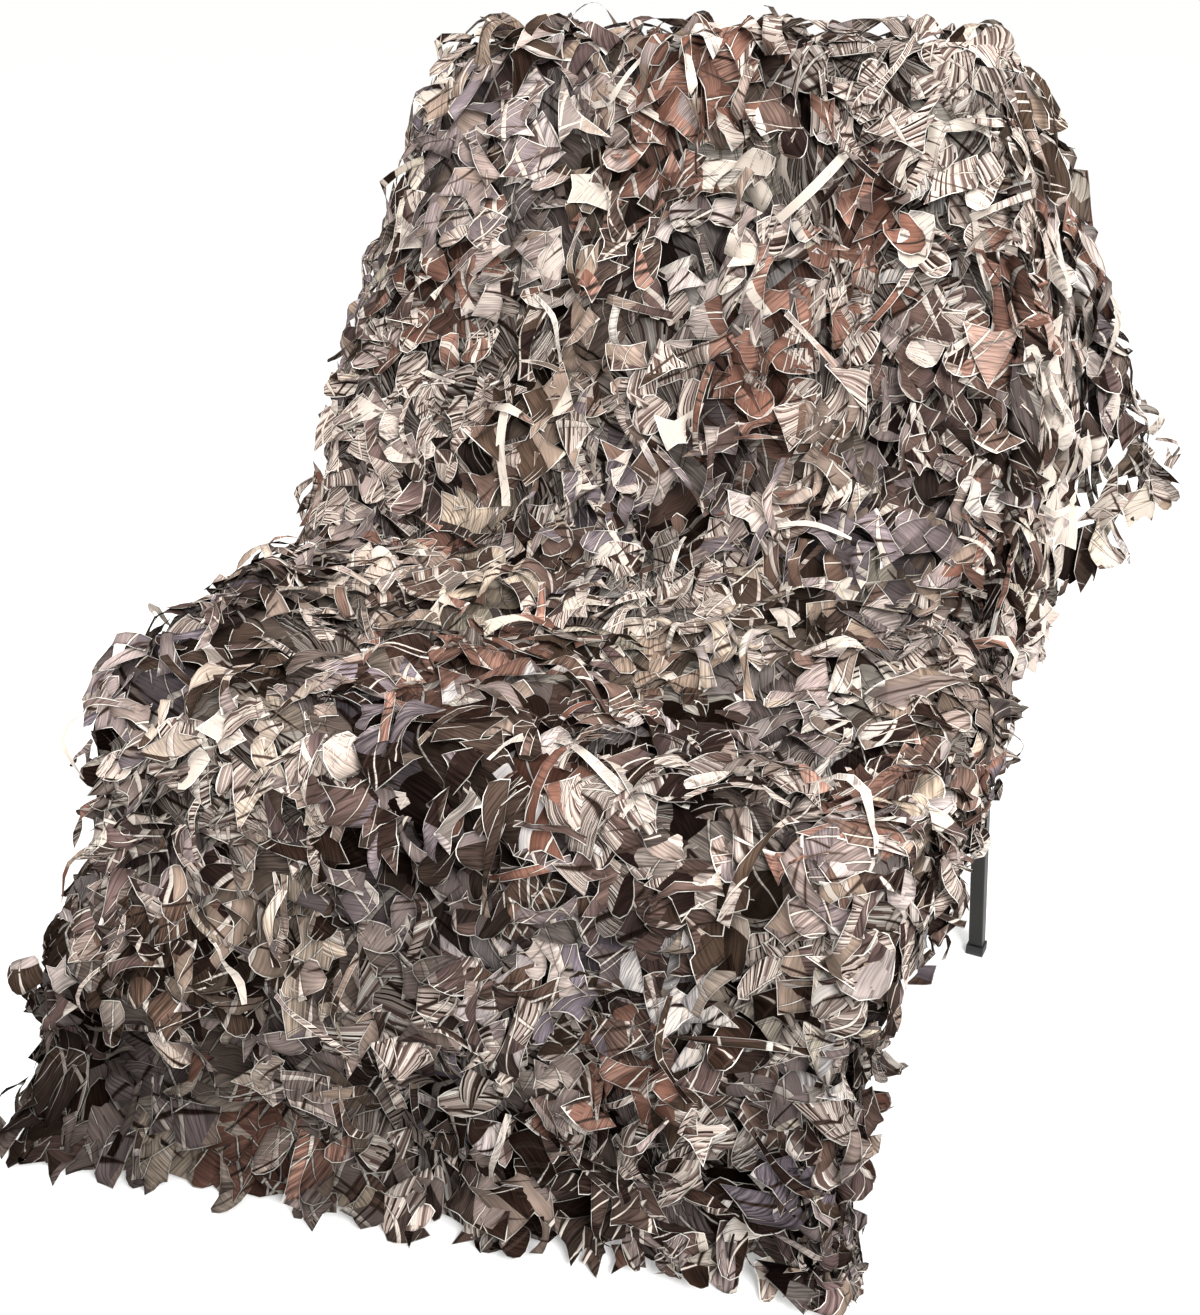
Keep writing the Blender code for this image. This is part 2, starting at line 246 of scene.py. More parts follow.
# How the net hangs, from the rear hem to the front hem: the flat position along the net,
# and the (x, y, z) of its left selvage, of its left edge over the chair, of its middle, of
# its right edge over the chair and of its right selvage. X is from the chair's centre line
# and Y from the line where the net turns down over the front of the seat.
SECTIONS = (
    # along, left hem, left edge, middle, right edge, right hem
    (0.00, (-0.50, 0.59, 0.45), (-0.312, 0.576, 0.795), (0, 0.576, 0.805),
     (0.280, 0.576, 0.805), (0.457, 0.600, 0.585)),
    (0.19, (-0.53, 0.56, 0.33), (-0.308, 0.552, 0.984), (0, 0.554, 0.996),
     (0.276, 0.552, 0.988), (0.430, 0.550, 0.555)),
    (0.255, (-0.53, 0.54, 0.29), (-0.312, 0.478, 0.996), (0, 0.480, 1.008),
     (0.276, 0.478, 1.000), (0.410, 0.510, 0.530)),
    (0.42, (-0.55, 0.52, 0.20), (-0.378, 0.448, 0.805), (0, 0.450, 0.810),
     (0.318, 0.448, 0.805), (0.372, 0.448, 0.487)),
    (0.59, (-0.56, 0.48, 0.10), (-0.445, 0.420, 0.610), (0, 0.418, 0.620),
     (0.336, 0.410, 0.625), (0.350, 0.365, 0.452)),
    (0.735, (-0.56, 0.43, 0.05), (-0.436, 0.345, 0.470), (0, 0.345, 0.495),
     (0.346, 0.330, 0.510), (0.354, 0.280, 0.425)),
    (0.905, (-0.555, 0.38, 0.035), (-0.442, 0.190, 0.464), (0, 0.180, 0.454),
     (0.358, 0.170, 0.462), (0.368, 0.170, 0.400)),
    (1.065, (-0.55, 0.33, 0.03), (-0.422, -0.004, 0.456), (0, -0.012, 0.458),
     (0.352, -0.012, 0.458), (0.388, 0.030, 0.402)),
    (1.22, (-0.545, 0.29, 0.03), (-0.432, -0.055, 0.310), (0, -0.052, 0.310),
     (0.340, -0.042, 0.310), (0.363, 0.000, 0.300)),
    (1.36, (-0.54, 0.26, 0.03), (-0.460, -0.148, 0.170), (0, -0.098, 0.180),
     (0.328, -0.052, 0.180), (0.344, 0.000, 0.170)),
    (1.43, (-0.535, 0.24, 0.02), (-0.455, -0.100, 0.092), (0, -0.056, 0.095),
     (0.322, -0.022, 0.095), (0.340, 0.008, 0.090)),
    (1.50, (-0.53, 0.22, 0.012), (-0.455, -0.205, 0.010), (0, -0.092, 0.010),
     (0.332, -0.004, 0.010), (0.350, 0.035, 0.010)),
)

# Runs of soft folds: the flat box that each covers, the way its folds follow one another,
# from crest to crest, how high they stand, and the side of the box where they die out.
FOLD_RUNS = (
    # across, along, runs, pitch, height, dies at
    ((0.45, 1.50), (1.04, 1.50), "across", 0.170, 0.012, "start"),
    ((0.00, 0.46), (0.10, 1.50), "along", 0.190, 0.020, "end"),
    ((1.16, 1.50), (0.10, 1.10), "along", 0.130, 0.010, "start"),
    ((0.20, 1.40), (0.00, 0.18), "across", 0.210, 0.010, "end"),
)
FOLD_START = 0.25
UNEVEN_FOLDS = dict(by=1.3, rate=7.0)

# Single creases and ridges: the flat ends of each, its half width and its height.
CREASES = (
    ((0.58, 0.95), (0.86, 0.93), 0.022, 0.012),
    ((0.56, 0.70), (0.86, 0.64), 0.040, -0.022),
    ((1.20, 0.22), (1.24, 0.66), 0.040, -0.014),
    ((0.80, 0.80), (1.10, 0.98), 0.060, -0.010),
)

# The chair's rear right foot, as it was built about the chair's centre line. The packed
# model is moved, and the difference brings the net along.
REAR_RIGHT_FOOT = (0.302, 0.582)
SEAT_REST = dict(x=0.345, front=0.030, rear=0.440, z=0.4471, sink=0.07)
FLOOR_REST = 0.005

# The part of the flat net that lies on the seat board, and over how much it eases off it.
SEAT_SPAN = (0.74, 1.16)
SEAT_SIDE = 0.42
SEAT_EASE = 0.05


def soften(grid, axis):
    """Rounds the grid's folds along one axis, and leaves its two ends where they are."""
    reach = math.ceil(3 * FOLD_SOFTNESS / DRAPE_STEP)
    steps = np.arange(-reach, reach + 1)
    weights = np.exp(-0.5 * (steps * DRAPE_STEP / FOLD_SOFTNESS) ** 2)
    weights /= weights.sum()
    grid = np.moveaxis(grid, axis, 0)
    before = 2 * grid[:1] - grid[reach:0:-1]
    after = 2 * grid[-1:] - grid[-2:-reach - 2:-1]
    padded = np.concatenate([before, grid, after])
    rounded = sum(w * padded[k:k + len(grid)] for k, w in enumerate(weights))
    return np.moveaxis(rounded, 0, axis)


def unit(vectors):
    """The vectors at length one."""
    return vectors / np.linalg.norm(vectors, axis=-1, keepdims=True)


def rotated(x, y, angle):
    """Flat vectors turned anticlockwise."""
    return x * np.cos(angle) - y * np.sin(angle), x * np.sin(angle) + y * np.cos(angle)


def normals_of(shape):
    """Unit normals of a grid of points, on the side that faces out of the chair."""
    return unit(np.cross(np.gradient(shape, axis=0), np.gradient(shape, axis=1)))


def fold_height(across, along):
    """How far the folds and creases lift the cloth off its smooth hanging shape."""
    height = np.zeros(across.shape)
    for box_across, box_along, runs, pitch, rise, dies_at in FOLD_RUNS:
        s = (across - box_across[0]) / (box_across[1] - box_across[0])
        t = (along - box_along[0]) / (box_along[1] - box_along[0])
        inside = (s > 0) & (s < 1) & (t > 0) & (t < 1)
        way, start, fade = (across, s, t) if runs == "across" else (along, t, s)
        fade = fade if dies_at == "start" else 1 - fade
        share = np.clip(start / FOLD_START, 0, 1) * np.clip(fade, 0, 1)
        uneven = UNEVEN_FOLDS["by"] * np.sin(UNEVEN_FOLDS["rate"] * way)
        height += inside * rise * share * np.sin(2 * math.pi * way / pitch + uneven)
    for start, end, half_width, rise in CREASES:
        way = np.subtract(end, start)
        length = np.hypot(*way)
        way = way / length
        beside = (across - start[0]) * way[1] - (along - start[1]) * way[0]
        ahead = (across - start[0]) * way[0] + (along - start[1]) * way[1]
        past = np.maximum(0, np.maximum(-ahead, ahead - length))
        height += rise * np.exp(-(np.hypot(beside, past) / half_width) ** 2)
    return height


def resting(points):
    """Keeps points of the net on the seat board and just off the floor."""
    x, y, z = (points - chair_shift)[..., 0], (points - chair_shift)[..., 1], points[..., 2]
    on_seat = (np.abs(x) < SEAT_REST["x"]) & (z > SEAT_REST["z"] - SEAT_REST["sink"])
    on_seat &= (y > SEAT_REST["front"]) & (y < SEAT_REST["rear"])
    points[..., 2] = np.maximum(z, np.where(on_seat, SEAT_REST["z"], FLOOR_REST))
    return points


low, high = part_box("foot_cap_rear_right")
chair_shift = np.array([(low[0] + high[0]) / 2 - REAR_RIGHT_FOOT[0],
                        (low[1] + high[1]) / 2 - REAR_RIGHT_FOOT[1], 0.0])

places = np.linspace(0, NET_SIDE, round(NET_SIDE / DRAPE_STEP) + 1)
rows = np.array([row[1:] for row in SECTIONS], float)
row_places = [row[0] for row in SECTIONS]
drape = np.empty((len(places), len(places), 3))
for axis in range(3):
    columns = [np.interp(places, row_places, column) for column in rows[..., axis].T]
    for k, line in enumerate(np.transpose(columns)):
        drape[k, :, axis] = np.interp(places, ACROSS, line)
drape = soften(soften(drape, 0), 1)
flat_along, flat_across = np.meshgrid(places, places, indexing="ij")
drape += normals_of(drape) * fold_height(flat_across, flat_along)[..., None] + chair_shift
drape_out = normals_of(drape)
drape_across = unit(np.gradient(drape, axis=1))

# How wide each metre of the flat net hangs, across and along: under 1 where it is gathered.
drape_give = np.stack([np.linalg.norm(np.gradient(drape, DRAPE_STEP, axis=axis), axis=-1)
                       for axis in (1, 0)], axis=-1)


def on_drape(grid, across, along):
    """The grid's values at flat positions of the net."""
    last = len(places) - 2
    j, i = (np.clip(flat / DRAPE_STEP, 0, last + 1) for flat in (across, along))
    j0, i0 = np.minimum(j.astype(int), last), np.minimum(i.astype(int), last)
    s, t = (j - j0)[..., None], (i - i0)[..., None]
    near = grid[i0, j0] * (1 - s) + grid[i0, j0 + 1] * s
    far = grid[i0 + 1, j0] * (1 - s) + grid[i0 + 1, j0 + 1] * s
    return near * (1 - t) + far * t


def frame_at(across, along):
    """The way out of the chair and the way across the net, at flat positions."""
    out = unit(on_drape(drape_out, across, along))
    side = unit(on_drape(drape_across, across, along))
    return out, unit(side - out * (side * out).sum(axis=-1, keepdims=True))


def room_below(across, along):
    """How far the net may lie inside its folds: hardly at all where the board bears it."""
    on_seat = np.clip((along - SEAT_SPAN[0]) / SEAT_EASE, 0, 1)
    on_seat = on_seat * np.clip((SEAT_SPAN[1] - along) / SEAT_EASE, 0, 1)
    on_seat = on_seat * np.clip((across - SEAT_SIDE) / SEAT_EASE, 0, 1)
    return 1 - on_seat


def cloth_object(name, points, faces, flat, from_cut, tone, atlas):
    """A piece of the printed cloth, with what its print and its baked map need.

    flat is where each point was on the flat cloth, from_cut its distance from the nearest
    cut, and tone how light its leaf is. atlas lays the leaves side by side in one square.
    """
    mesh = bpy.data.meshes.new(name)
    mesh.vertices.add(len(points))
    mesh.vertices.foreach_set("co", points.astype(np.float32).ravel())
    mesh.loops.add(faces.size)
    mesh.loops.foreach_set("vertex_index", faces.astype(np.int32).ravel())
    sides = faces.shape[1]
    mesh.polygons.add(len(faces))
    mesh.polygons.foreach_set("loop_start", np.arange(0, faces.size, sides, dtype=np.int32))
    mesh.update(calc_edges=True)
    mesh.shade_smooth()
    padded = np.column_stack([flat, np.zeros(len(flat))]).astype(np.float32)
    mesh.attributes.new("flat_place", "FLOAT_VECTOR", "POINT").data.foreach_set(
        "vector", padded.ravel())
    for attribute, values in (("from_cut", from_cut), ("leaf_tone", tone)):
        mesh.attributes.new(attribute, "FLOAT", "POINT").data.foreach_set(
            "value", values.astype(np.float32))
    mesh.uv_layers.new(name="OFBake").data.foreach_set(
        "uv", atlas[faces.ravel()].astype(np.float32).ravel())
    return placed(name, mesh)


draw = np.random.RandomState(SEED)
count = round(NET_SIDE / GROUND_STEP) + 1
steps = np.linspace(GROUND_INSET, NET_SIDE - GROUND_INSET, count)
ground_along, ground_across = np.meshgrid(steps, steps, indexing="ij")
jitter = draw.uniform(-GROUND_JITTER, GROUND_JITTER, (2, count, count)) * GROUND_STEP
ground_across, ground_along = ground_across + jitter[0], ground_along + jitter[1]
relief = draw.uniform(-1.0, 1.0, ground_across.shape) * GROUND_RELIEF
relief -= GROUND_DEPTH * room_below(ground_across, ground_along)
ground = on_drape(drape, ground_across, ground_along)
ground += on_drape(drape_out, ground_across, ground_along) * relief[..., None]
ground = resting(ground)

index = np.arange(count * count).reshape(count, count)
squares = np.stack([index[:-1, :-1], index[:-1, 1:], index[1:, 1:], index[1:, :-1]], axis=-1)

# Where light shows through the net: the flat middle and reach of each place.
THIN_PLACES = (
    # across, along, reach across, reach along
    (0.46, 1.22, 0.07, 0.20),
    (1.48, 1.30, 0.10, 0.16),
    (1.47, 0.30, 0.06, 0.16),
    (1.44, 1.12, 0.09, 0.06),
)
THIN_FULLY_BY = 0.6


def away_from(place, across, along):
    """How far flat positions are from a place's middle, as a share of its reach, squared."""
    middle_across, middle_along, reach_across, reach_along = place
    away = ((across - middle_across) / reach_across) ** 2
    return away + ((along - middle_along) / reach_along) ** 2


def thin_cloth(across, along):
    """From 0, where the cloth is close, to 1, where the net lets light through."""
    share = np.zeros(across.shape)
    for place in THIN_PLACES:
        away = away_from(place, across, along)
        share = np.maximum(share, np.clip(1 + THIN_FULLY_BY - away, 0, 1))
    return share


# Leaf cuts that open as round holes, on a slanted lattice, where light shows through.
CUT_PITCH = 0.046
CUT_RADIUS = 0.017
CUT_SLANT = 0.35
UNEVEN_CUTS = dict(by=0.006, row_rate=12.9, across_rate=78.2)
CLOSE_RIM = 1.5 * GROUND_STEP
centre_across = (ground_across[:-1, :-1] + ground_across[1:, 1:]) / 2
centre_along = (ground_along[:-1, :-1] + ground_along[1:, 1:]) / 2
row = np.round(centre_along / CUT_PITCH)
column = np.round(centre_across / CUT_PITCH - CUT_SLANT * row)
hole_across = (column + CUT_SLANT * row) * CUT_PITCH
sway = UNEVEN_CUTS["by"] * np.sin(row * UNEVEN_CUTS["row_rate"]
                                  + hole_across * UNEVEN_CUTS["across_rate"])
away = np.hypot(centre_across - hole_across - sway, centre_along - row * CUT_PITCH - sway)
to_rim = np.minimum.reduce([centre_across, centre_along, NET_SIDE - centre_across,
                            NET_SIDE - centre_along])
radius = CUT_RADIUS * thin_cloth(centre_across, centre_along)
squares = squares[(away > radius) | (to_rim < CLOSE_RIM)]
used = np.unique(squares)
renumber = np.full(count * count, -1)
renumber[used] = np.arange(len(used))
flat = np.column_stack([ground_across.ravel(), ground_along.ravel()])[used]

# The ground shows no cut edges, and it is painted as dark as the darkest leaf: painted shade,
# since it shows only in the shaded depths between the leaves.
FAR_FROM_CUT = 0.02
GROUND_PAINTED_SHADE_TONE = 0.0
MAP_MARGIN = 0.02
net_ground = cloth_object(
    "net_ground", ground.reshape(-1, 3)[used], renumber[squares], flat,
    np.full(len(used), FAR_FROM_CUT), np.full(len(used), GROUND_PAINTED_SHADE_TONE),
    MAP_MARGIN + (1 - 2 * MAP_MARGIN) * flat / NET_SIDE)

# -----------------------------------------------------------------------------------------
# The print of the cloth, a dry marsh of reeds, bark and fallen leaves in the net's own
# layout. It is a heat transfer print on 150 denier polyester: the colours sit in the thread,
# the cloth is matt, and the hot knife leaves a pale lip on each cut.

# Inks, and lengths in metres: only the texture sizes, named _MM, are in millimetres.
TAUPE = "8d7c74"
GREY_BROWN = "63504a"
TAN = "b8a89e"
CREAM = "e4d9ce"
RUST = "6c4a3e"
RUST_LIGHT = "937164"
CHARCOAL = "2c201c"
# Partly print and partly painted sheen: bluish grey patches stand in for the sheen of the
# polyester.
COOL_GREY_SHEEN = "75696b"
DEEP_BROWN = "43362f"
PALE_CUT = "f8f2e8"
PALEST = "c6baae"
CUT_LIP = 0.00090
LIP_FULL = 0.00036
# How far in from each cut the painted shadow line along it reaches.
CUT_SHADOW_REACH = 0.00324
PATCH_MM = 50
PATCH_REACH = 0.75
MOTTLE_MM = 30
NOISE_USUAL = (0.3, 0.7)
COOL_TINT = (0.95, 0.99, 1.10, 1.0)
WARM_TINT = (1.04, 1.00, 0.86, 1.0)
FIBRE_ACROSS_MM = 1.8
FIBRE_ALONG_MM = 40
FIBRE_CONTRAST = (1.1, 4.0)
FIBRE_DARKEST = 0.35
BEND_MM = 60
BENT_BY = 0.020
FAN_MM = 80
FAN_REACH = 0.070
FAN_NARROWEST = 0.2
FAN_SHARE = 0.28
RUST_SHARE = 0.12
STRAW_WIDE = 0.0014
STRAW_LONG = 0.055
BLADE_LINE = 0.0011
BLADE_SOFT = 0.0003
BLADE_LINE_SHARE = 0.8
THINNEST_BLADE = 0.35
ALL_STRAW = dict(tones=(0.76, 0.96), share=0.75)
LIP_SHARE = dict(noise=(0.41, 0.56), share=(0.06, 0.95))
WEAVE_MM = 1.2
CLOTH_ROUGHNESS = 0.6

# How bright each feature is where it starts and where it ends.
LIT = dict(mottle=(0.78, 1.24), patch=(1.24, 0.66), straw=(0.30, 1.0), blade=(0.60, 1.25),
           leaf=(0.26, 1.40), cut_shadow=(0.62, 1.0), lip=(0.15, 1.0))


def reeds(tree, across, along, pitch, length):
    """Reeds side by side over two coordinates, each with a start of its own.

    Gives each reed's three random numbers, and where a point is across its reed, from
    -0.5 to 0.5, and along it, from -1 to 1.
    """
    column = maths(tree, "DIVIDE", across, pitch)
    whole_column = maths(tree, "FLOOR", column)
    start = add(tree, "TexWhiteNoise", {"W": whole_column}, noise_dimensions="1D")
    row = maths(tree, "ADD", maths(tree, "DIVIDE", along, length), start)
    whole_row = maths(tree, "FLOOR", row)
    own = add(tree, "CombineXYZ", {"X": whole_column, "Y": whole_row})
    own = add(tree, "TexWhiteNoise", {"Vector": own}, noise_dimensions="2D")
    own = add(tree, "SeparateColor", {0: own.outputs["Color"]})
    beside = maths(tree, "SUBTRACT", maths(tree, "SUBTRACT", column, whole_column), 0.5)
    ahead = maths(tree, "SUBTRACT", row, whole_row)
    return own, beside, maths(tree, "MULTIPLY_ADD", ahead, 2.0, -1.0)


printed, tree, shader = new_finish("printed_leaf_cut_polyester")
flat_place = add(tree, "Attribute", attribute_name="flat_place").outputs["Vector"]
from_cut = add(tree, "Attribute", attribute_name="from_cut").outputs["Fac"]
tone = add(tree, "Attribute", attribute_name="leaf_tone").outputs["Fac"]

# Everything in the print is bent a little, as growing things are.
sway_at = noise(tree, flat_place, BEND_MM, 0.0, "2D")
sway_by = scaled(tree, sway_at.outputs["Color"], BENT_BY)
place = add(tree, "VectorMath", {0: flat_place, 1: sway_by})

# Fallen leaves and mud: mottled patches, each of one colour and light in the middle.
patch = add(tree, "TexVoronoi", {"Vector": place, "Scale": per_metre(PATCH_MM)},
            voronoi_dimensions="2D")
chance = add(tree, "SeparateColor", {0: patch.outputs["Color"]})
colour = ramp(tree, chance.outputs["Red"], (
    (0.0, CHARCOAL), (0.10, GREY_BROWN), (0.30, TAUPE), (0.46, COOL_GREY_SHEEN), (0.55, TAN),
    (0.66, DEEP_BROWN), (0.78, TAUPE), (0.92, CREAM)), "CONSTANT")
shift = noise(tree, place, MOTTLE_MM, 1.0, "2D")
mottle = mapped(tree, shift, NOISE_USUAL, LIT["mottle"])
from_middle = mapped(tree, patch.outputs["Distance"], (0.0, PATCH_REACH), LIT["patch"])
mottle = maths(tree, "MULTIPLY", mottle, from_middle)
tint = mixed(tree, chance.outputs["Blue"], COOL_TINT, WARM_TINT)
colour = add(tree, "VectorMath", {0: colour, 1: tint}, operation="MULTIPLY")

# Drifts of rust-red leaves.
bundle = add(tree, "TexVoronoi", {"Vector": place, "Scale": per_metre(FAN_MM)},
             voronoi_dimensions="2D")
bundle_chance = add(tree, "SeparateColor", {0: bundle.outputs["Color"]})
rust = mixed(tree, chance.outputs["Green"], RUST, RUST_LIGHT)
in_drift = maths(tree, "LESS_THAN", bundle_chance.outputs["Green"], RUST_SHARE)
colour = scaled(tree, mixed(tree, in_drift, colour, rust), mottle)

# Bark and stems: soft fibres, turned a different way in each patch.
turn = maths(tree, "MULTIPLY", chance.outputs["Blue"], math.pi)
turned = add(tree, "VectorRotate", {"Vector": place, "Angle": turn}, rotation_type="Z_AXIS")
fibre_scale = (per_metre(FIBRE_ACROSS_MM), per_metre(FIBRE_ALONG_MM), 1.0)
fibre_at = add(tree, "VectorMath", {0: turned, 1: fibre_scale}, operation="MULTIPLY")
fibre = noise(tree, fibre_at, METRE_MM, 2.0, "2D", Roughness=0.7)
coarse = mapped(tree, chance.outputs["Green"], to=FIBRE_CONTRAST)
fibre_tone = maths(tree, "MULTIPLY_ADD", maths(tree, "SUBTRACT", fibre, 0.5), coarse, 1.0)
fibre_tone = maths(tree, "MAXIMUM", fibre_tone, FIBRE_DARKEST)
colour = scaled(tree, colour, fibre_tone)

# Bundles of dry reeds: straws that fan out from a point of each bundle's own.
turn = maths(tree, "MULTIPLY", bundle_chance.outputs["Blue"], 2 * math.pi)
away = add(tree, "VectorMath", {0: place, 1: bundle.outputs["Position"]}, operation="SUBTRACT")
away = add(tree, "VectorRotate", {"Vector": away, "Angle": turn}, rotation_type="Z_AXIS")
away = add(tree, "SeparateXYZ", {0: away})
reach = maths(tree, "ADD", away.outputs["X"], FAN_REACH)
reach = maths(tree, "MAXIMUM", reach, FAN_NARROWEST * FAN_REACH)
spread = maths(tree, "DIVIDE", away.outputs["Y"], reach)
own, beside, ahead = reeds(tree, spread, reach, STRAW_WIDE / FAN_REACH, STRAW_LONG)
straw_colour = ramp(tree, own.outputs["Red"], (
    (0.0, CHARCOAL), (0.06, DEEP_BROWN), (0.14, GREY_BROWN), (0.30, TAUPE), (0.52, TAN),
    (0.76, CREAM), (0.95, PALE_CUT)), "CONSTANT")
straw_colour = scaled(tree, straw_colour, mapped(tree, beside, (-0.5, -0.2), LIT["straw"]))
in_bundle = maths(tree, "LESS_THAN", bundle_chance.outputs["Red"], FAN_SHARE)
colour = mixed(tree, in_bundle, colour, straw_colour)

# Single blades and straws, pointed, printed as if lit from one side, each with a dark line
# beside it.
BLADE_LAYERS = (
    # turn in degrees, pitch, half width as a share of it, length, share, colours
    (-28, 0.013, 0.28, 0.110, 0.22, TAN, CREAM),
    (62, 0.008, 0.22, 0.080, 0.22, CHARCOAL, DEEP_BROWN),
    (33, 0.007, 0.17, 0.080, 0.26, CREAM, PALE_CUT),
)
for turn_deg, pitch, half, length, share, dark, light in BLADE_LAYERS:
    turned = add(tree, "VectorRotate", {"Vector": place, "Angle": math.radians(turn_deg)},
                 rotation_type="Z_AXIS")
    turned = add(tree, "SeparateXYZ", {0: turned})
    own, beside, ahead = reeds(tree, turned.outputs["X"], turned.outputs["Y"], pitch, length)
    there = maths(tree, "LESS_THAN", own.outputs["Red"], share)
    lit = maths(tree, "MULTIPLY", mapped(tree, beside, (-half, half), LIT["blade"]), fibre_tone)
    blade = scaled(tree, mixed(tree, own.outputs["Green"], dark, light), lit)
    own_half = mapped(tree, own.outputs["Blue"], to=(THINNEST_BLADE * half, half))
    point = maths(tree, "SUBTRACT", 1.0, maths(tree, "MULTIPLY", ahead, ahead))
    point = maths(tree, "MULTIPLY", point, own_half)
    inside = maths(tree, "SUBTRACT", point, maths(tree, "ABSOLUTE", beside))
    edge = mapped(tree, inside, (-BLADE_LINE / pitch, 0.0), (0.0, BLADE_LINE_SHARE))
    edge = maths(tree, "MULTIPLY", edge, there)
    colour = mixed(tree, edge, colour, DEEP_BROWN)
    body = mapped(tree, inside, (0.0, BLADE_SOFT / pitch))
    colour = mixed(tree, maths(tree, "MULTIPLY", body, there), colour, blade)

# Each leaf is lighter or darker than the next, by a tone that also carries painted light and
# shade, and the palest ones are all straw. A leaf's cut has a pale lip, which the hot knife
# left, and a painted shadow line inside it. No ink is paler than PALEST, so that the print
# still shows in full light.
pale = mapped(tree, tone, ALL_STRAW["tones"], (0.0, ALL_STRAW["share"]))
straw = scaled(tree, CREAM, fibre_tone)
light = mapped(tree, tone, (0.0, 0.8), LIT["leaf"])
# Painted shadow: a darker line along the inside of each cut.
inner = mapped(tree, from_cut, (CUT_LIP, CUT_SHADOW_REACH), LIT["cut_shadow"])
colour = scaled(tree, colour, maths(tree, "MULTIPLY", light, inner))
colour = mixed(tree, pale, colour, straw)
colour = add(tree, "VectorMath", {0: colour, 1: PALEST}, operation="MINIMUM")
lip_lit = mapped(tree, tone, (0.0, 0.6), LIT["lip"])
lip_share = mapped(tree, shift, LIP_SHARE["noise"], LIP_SHARE["share"])
lip_share = maths(tree, "MULTIPLY", lip_share, lip_lit)
lip = mapped(tree, from_cut, (CUT_LIP, LIP_FULL), (0.0, lip_share))
colour = mixed(tree, lip, colour, PALE_CUT)

# The weave is drawn at 1.2 mm, coarser than the real 0.3 mm thread, so that it shows.
threads = scaled(tree, flat_place, per_metre(WEAVE_MM) * 2 * math.pi)
threads = add(tree, "SeparateXYZ", {0: threads})
warp, weft = (maths(tree, "SINE", threads.outputs[way]) for way in "XY")
bumps = add(tree, "Bump", {"Height": maths(tree, "MULTIPLY", warp, weft), "Strength": 0.10,
                           "Distance": 0.0002})
feed(shader, {"Base Color": colour, "Normal": bumps, "Roughness": CLOTH_ROUGHNESS,
              "Specular IOR Level": 0.0})
net_ground.data.materials.append(printed)

# -----------------------------------------------------------------------------------------
# Leaves of the net. U-shaped cuts free rounded tongues, the cloth left between round cuts is
# a piece with hollow sides, and bridges and thin straps join them. Freed by the knife, they
# curl, fold and stand off the ground of the net, and they hang where it hangs.

RINGS = (1.0, 0.5)
RIM = 16
STRAP_ROWS, STRAP_COLUMNS = 9, 3

# Of the way to the outline along a ray, the share that the way to the nearest cut is.
NEAREST_CUT = 0.82

# Lengths in metres. A waist, a bow and a hollow are shares of the leaf's own size.
TONGUE = dict(half_length=(0.017, 0.029), half_width=(0.010, 0.018), tip=2.1, root=5.0)
PIECE = dict(reach=(0.016, 0.045), uneven=0.22, hollow=(-0.12, 0.5), held_at=0.7)
CORNERS = {"four": 4, "three": 3, "five": 5}
STRIPS = {
    "bridge": dict(length=(0.045, 0.075), width=(0.016, 0.030), waist=(0.25, 0.6), bow=0.11),
    "strap": dict(length=(0.055, 0.110), width=(0.005, 0.012), waist=(-0.1, 0.3), bow=0.16),
    "ribbon": dict(length=(0.050, 0.095), width=(0.002, 0.004), waist=(-1.6, -0.6), bow=0.26),
}
STRIP_END = 0.002
STRIP_LIP = 0.0003

# How much the leaves bend and cup, as 1 / radius in metres, and how far they fold and how
# far aslant the bend runs, in radians.
CURL = dict(turn=0.9, least=4.0, more=17.0, crease=0.65, off_middle=0.006, cup=14.0)


def ring_faces(rim):
    """The triangles of a leaf meshed in rings, its centre point last."""
    faces = []
    for ring in range(len(RINGS) - 1):
        for k in range(rim):
            a, b = ring * rim + k, ring * rim + (k + 1) % rim
            faces += [(a, b, b + rim), (a, b + rim, a + rim)]
    last = (len(RINGS) - 1) * rim
    faces += [(last + k, last + (k + 1) % rim, last + rim) for k in range(rim)]
    return np.array(faces)


def strip_faces():
    """The triangles of a strap meshed in rows of points."""
    index = np.arange(STRAP_ROWS * STRAP_COLUMNS).reshape(STRAP_ROWS, STRAP_COLUMNS)
    a, b = index[:-1, :-1].ravel(), index[:-1, 1:].ravel()
    c, d = index[1:, 1:].ravel(), index[1:, :-1].ravel()
    return np.concatenate([np.column_stack([a, b, c]), np.column_stack([a, c, d])])


def filled(rim_points):
    """Rings of points inside outlines [leaf, point, xy], and how far each is from a cut."""
    rings = [rim_points * scale for scale in RINGS]
    inner = np.concatenate(rings + [np.zeros_like(rim_points[:, :1])], axis=1)
    reach = np.linalg.norm(rim_points, axis=2)
    depth = [NEAREST_CUT * (1 - scale) * reach for scale in RINGS]
    depth.append(NEAREST_CUT * reach.mean(axis=1, keepdims=True))
    return inner, np.concatenate(depth, axis=1)


def tongues(number):
    """Tongues that a U-shaped cut frees: square at the root, round at the tip."""
    half_length = draw.uniform(*TONGUE["half_length"], (number, 1))
    half_width = draw.uniform(*TONGUE["half_width"], (number, 1))
    turn = np.linspace(0, 2 * math.pi, RIM, endpoint=False)
    power = np.where(np.cos(turn) > 0, TONGUE["tip"], TONGUE["root"])
    reach = (np.abs(np.cos(turn) / half_length) ** power
             + np.abs(np.sin(turn) / half_width) ** power) ** (-1 / power)
    outline = np.stack([reach * np.cos(turn), reach * np.sin(turn)], axis=-1)
    points, depth = filled(outline)
    points[..., 0] += half_length
    return points, depth


